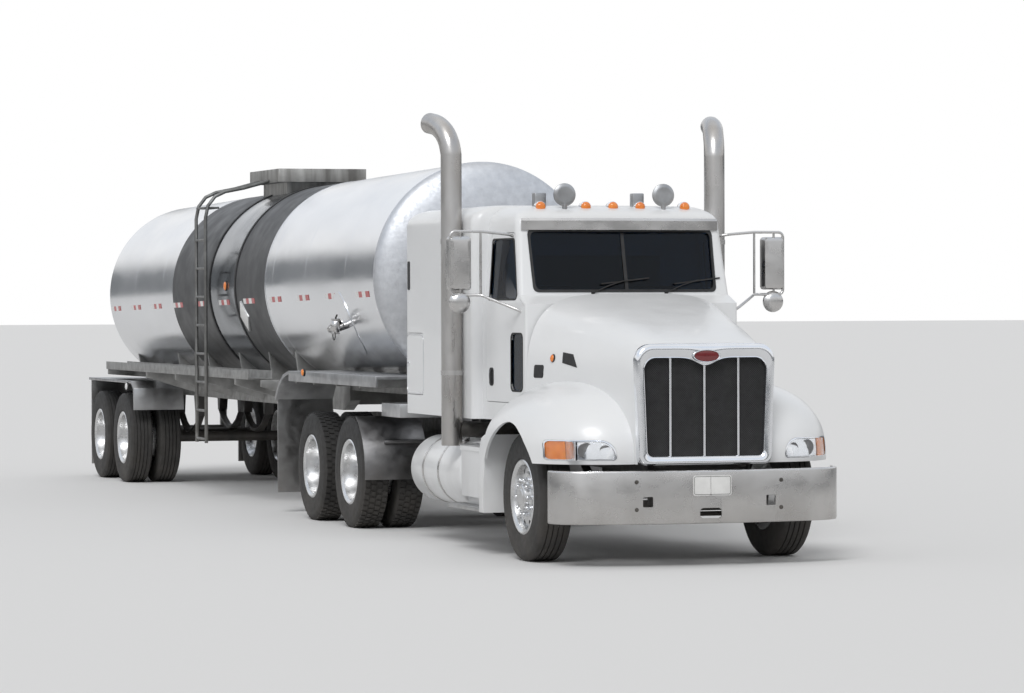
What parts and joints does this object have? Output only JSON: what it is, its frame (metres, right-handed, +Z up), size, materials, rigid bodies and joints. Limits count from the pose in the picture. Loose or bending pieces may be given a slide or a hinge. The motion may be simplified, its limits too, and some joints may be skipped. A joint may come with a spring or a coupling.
{
  "type": "articulated tanker truck",
  "caption": "Long-nosed road tractor with sleeper cab, coupled at its kingpin to a round insulated tank trailer; hood, doors, lockers, lid, steering and wheels all move.",
  "frame": {"origin": "middle of the length and width, on the ground", "axes": "+Y towards the trailer's tail, +X the vehicle's left side, +Z up"},
  "size_m": [2.94, 17.79, 3.6599],
  "materials": {
    "white_paint": "gloss paint",
    "chrome": "bright plate",
    "polished_steel": "polished stainless sheet",
    "aluminium": "bare sheet, slightly dull",
    "frame_black": "satin black paint",
    "trailer_grey": "grey galvanised finish",
    "tank_steel": "polished stainless sheet",
    "rubber": "matt tyre rubber",
    "glass": "clear, tinted",
    "lamp_clear": "clear lens over a bright bowl",
    "cast_iron": "dark, oily",
    "trim_dark": "dark trim"
  },
  "bodies": {
    "tractor": {"chassis_frame": "frame_black", "front_bumper": "polished_steel", "front_axle": "frame_black", "drive_axle_front": "frame_black", "drive_axle_rear": "frame_black", "engine_block": "cast_iron", "cab_shell": "white_paint", "windscreen": "glass", "sun_visor": "polished_steel", "sleeper_shell": "white_paint", "dashboard": "trim_dark", "seats": "trim_dark", "rear_deck": "trailer_grey", "quarter_fender_left": "aluminium", "quarter_fender_right": "aluminium", "fifth_wheel": "cast_iron", "fuel_tank_left": "white_paint", "fuel_tank_right": "white_paint", "step_box_left": "white_paint", "step_box_right": "white_paint", "exhaust_stack_left": "polished_steel", "exhaust_stack_right": "polished_steel"},
    "hood": {"hood": "white_paint", "grille_surround": "chrome", "grille": "trim_dark", "headlamp_left": "lamp_clear", "headlamp_right": "lamp_clear"},
    "tie_rod": {"tie_rod": "cast_iron"},
    "door_left": {"door_left": "white_paint", "door_glass_left": "glass", "mirror_left": "polished_steel"},
    "door_right": {"door_right": "white_paint", "door_glass_right": "glass", "mirror_right": "polished_steel"},
    "trailer": {"tank": "tank_steel", "trailer_frame": "trailer_grey", "trailer_suspension": "frame_black", "ladder": "trailer_grey", "spill_box": "trailer_grey", "landing_gear": "trailer_grey", "side_outlet": "polished_steel", "trailer_fender_left": "aluminium", "trailer_fender_right": "aluminium", "rear_fender_left": "aluminium", "rear_fender_right": "aluminium"},
    "manhole_lid": {"manhole_lid": "aluminium"},
    "locker_door_left": {"locker_door_left": "white_paint"},
    "locker_door_right": {"locker_door_right": "white_paint"},
    "knuckle_left": {"knuckle_left": "cast_iron"},
    "knuckle_right": {"knuckle_right": "cast_iron"},
    "front_wheel_left": {"front_wheel_left": "rubber"},
    "front_wheel_right": {"front_wheel_right": "rubber"},
    "drive_wheel_front_left": {"drive_wheel_front_left": "rubber"},
    "drive_wheel_front_right": {"drive_wheel_front_right": "rubber"},
    "drive_wheel_rear_left": {"drive_wheel_rear_left": "rubber"},
    "drive_wheel_rear_right": {"drive_wheel_rear_right": "rubber"},
    "trailer_wheel_front_left": {"trailer_wheel_front_left": "rubber"},
    "trailer_wheel_front_right": {"trailer_wheel_front_right": "rubber"},
    "trailer_wheel_rear_left": {"trailer_wheel_rear_left": "rubber"},
    "trailer_wheel_rear_right": {"trailer_wheel_rear_right": "rubber"}
  },
  "joints": [
    {"name": "hood_tilt", "type": "hinge", "parent": "tractor", "child": "hood", "pos_m": [0, -8.68, 0.8], "axis": [1, 0, 0], "range_deg": [0, 50]},
    {"name": "door_left_swing", "type": "hinge", "parent": "tractor", "child": "door_left", "pos_m": [0.92178, -7.085, 1.24], "axis": [0, 0, -1], "range_deg": [0, 65]},
    {"name": "door_right_swing", "type": "hinge", "parent": "tractor", "child": "door_right", "pos_m": [-0.92178, -7.085, 1.24], "axis": [0, 0, 1], "range_deg": [0, 65]},
    {"name": "locker_left_swing", "type": "hinge", "parent": "tractor", "child": "locker_door_left", "pos_m": [1.085, -4.775, 1.26], "axis": [0, 0, -1], "range_deg": [0, 90]},
    {"name": "locker_right_swing", "type": "hinge", "parent": "tractor", "child": "locker_door_right", "pos_m": [-1.085, -4.775, 1.26], "axis": [0, 0, 1], "range_deg": [0, 90]},
    {"name": "steer_left", "type": "hinge", "parent": "tractor", "child": "knuckle_left", "pos_m": [0.83, -7.705, 0.51113], "axis": [0, 0, 1], "range_deg": [-35, 35]},
    {"name": "steer_right", "type": "hinge", "parent": "tractor", "child": "knuckle_right", "pos_m": [-0.83, -7.705, 0.51113], "axis": [0, 0, 1], "range_deg": [-35, 35]},
    {"name": "tie_rod_pivot", "type": "hinge", "parent": "knuckle_left", "child": "tie_rod", "pos_m": [0.79, -7.51, 0.51113], "axis": [0, 0, 1], "range_deg": [-35, 35]},
    {"name": "front_wheel_left_spin", "type": "hinge", "parent": "knuckle_left", "child": "front_wheel_left", "pos_m": [1.0225, -7.705, 0.51113], "axis": [1, 0, 0], "continuous": true},
    {"name": "front_wheel_right_spin", "type": "hinge", "parent": "knuckle_right", "child": "front_wheel_right", "pos_m": [-1.0225, -7.705, 0.51113], "axis": [1, 0, 0], "continuous": true},
    {"name": "drive_wheel_front_left_spin", "type": "hinge", "parent": "tractor", "child": "drive_wheel_front_left", "pos_m": [0.916, -2.779, 0.51113], "axis": [1, 0, 0], "continuous": true},
    {"name": "drive_wheel_front_right_spin", "type": "hinge", "parent": "tractor", "child": "drive_wheel_front_right", "pos_m": [-0.916, -2.779, 0.51113], "axis": [1, 0, 0], "continuous": true},
    {"name": "drive_wheel_rear_left_spin", "type": "hinge", "parent": "tractor", "child": "drive_wheel_rear_left", "pos_m": [0.916, -1.459, 0.51113], "axis": [1, 0, 0], "continuous": true},
    {"name": "drive_wheel_rear_right_spin", "type": "hinge", "parent": "tractor", "child": "drive_wheel_rear_right", "pos_m": [-0.916, -1.459, 0.51113], "axis": [1, 0, 0], "continuous": true},
    {"name": "trailer_turn", "type": "hinge", "parent": "tractor", "child": "trailer", "pos_m": [0, -2.219, 1.2], "axis": [0, 0, 1], "range_deg": [-75, 75]},
    {"name": "trailer_wheel_front_left_spin", "type": "hinge", "parent": "trailer", "child": "trailer_wheel_front_left", "pos_m": [0.916, 6.871, 0.51113], "axis": [1, 0, 0], "continuous": true},
    {"name": "trailer_wheel_front_right_spin", "type": "hinge", "parent": "trailer", "child": "trailer_wheel_front_right", "pos_m": [-0.916, 6.871, 0.51113], "axis": [1, 0, 0], "continuous": true},
    {"name": "trailer_wheel_rear_left_spin", "type": "hinge", "parent": "trailer", "child": "trailer_wheel_rear_left", "pos_m": [0.916, 8.121, 0.51113], "axis": [1, 0, 0], "continuous": true},
    {"name": "trailer_wheel_rear_right_spin", "type": "hinge", "parent": "trailer", "child": "trailer_wheel_rear_right", "pos_m": [-0.916, 8.121, 0.51113], "axis": [1, 0, 0], "continuous": true},
    {"name": "manhole_lid_swing", "type": "hinge", "parent": "trailer", "child": "manhole_lid", "pos_m": [0, 3.435, 3.325], "axis": [-1, 0, 0], "range_deg": [0, 100]}
  ],
  "couplings": [
    {"joint": "steer_right", "follows": "steer_left", "ratio": 1},
    {"joint": "tie_rod_pivot", "follows": "steer_left", "ratio": -1}
  ]
}
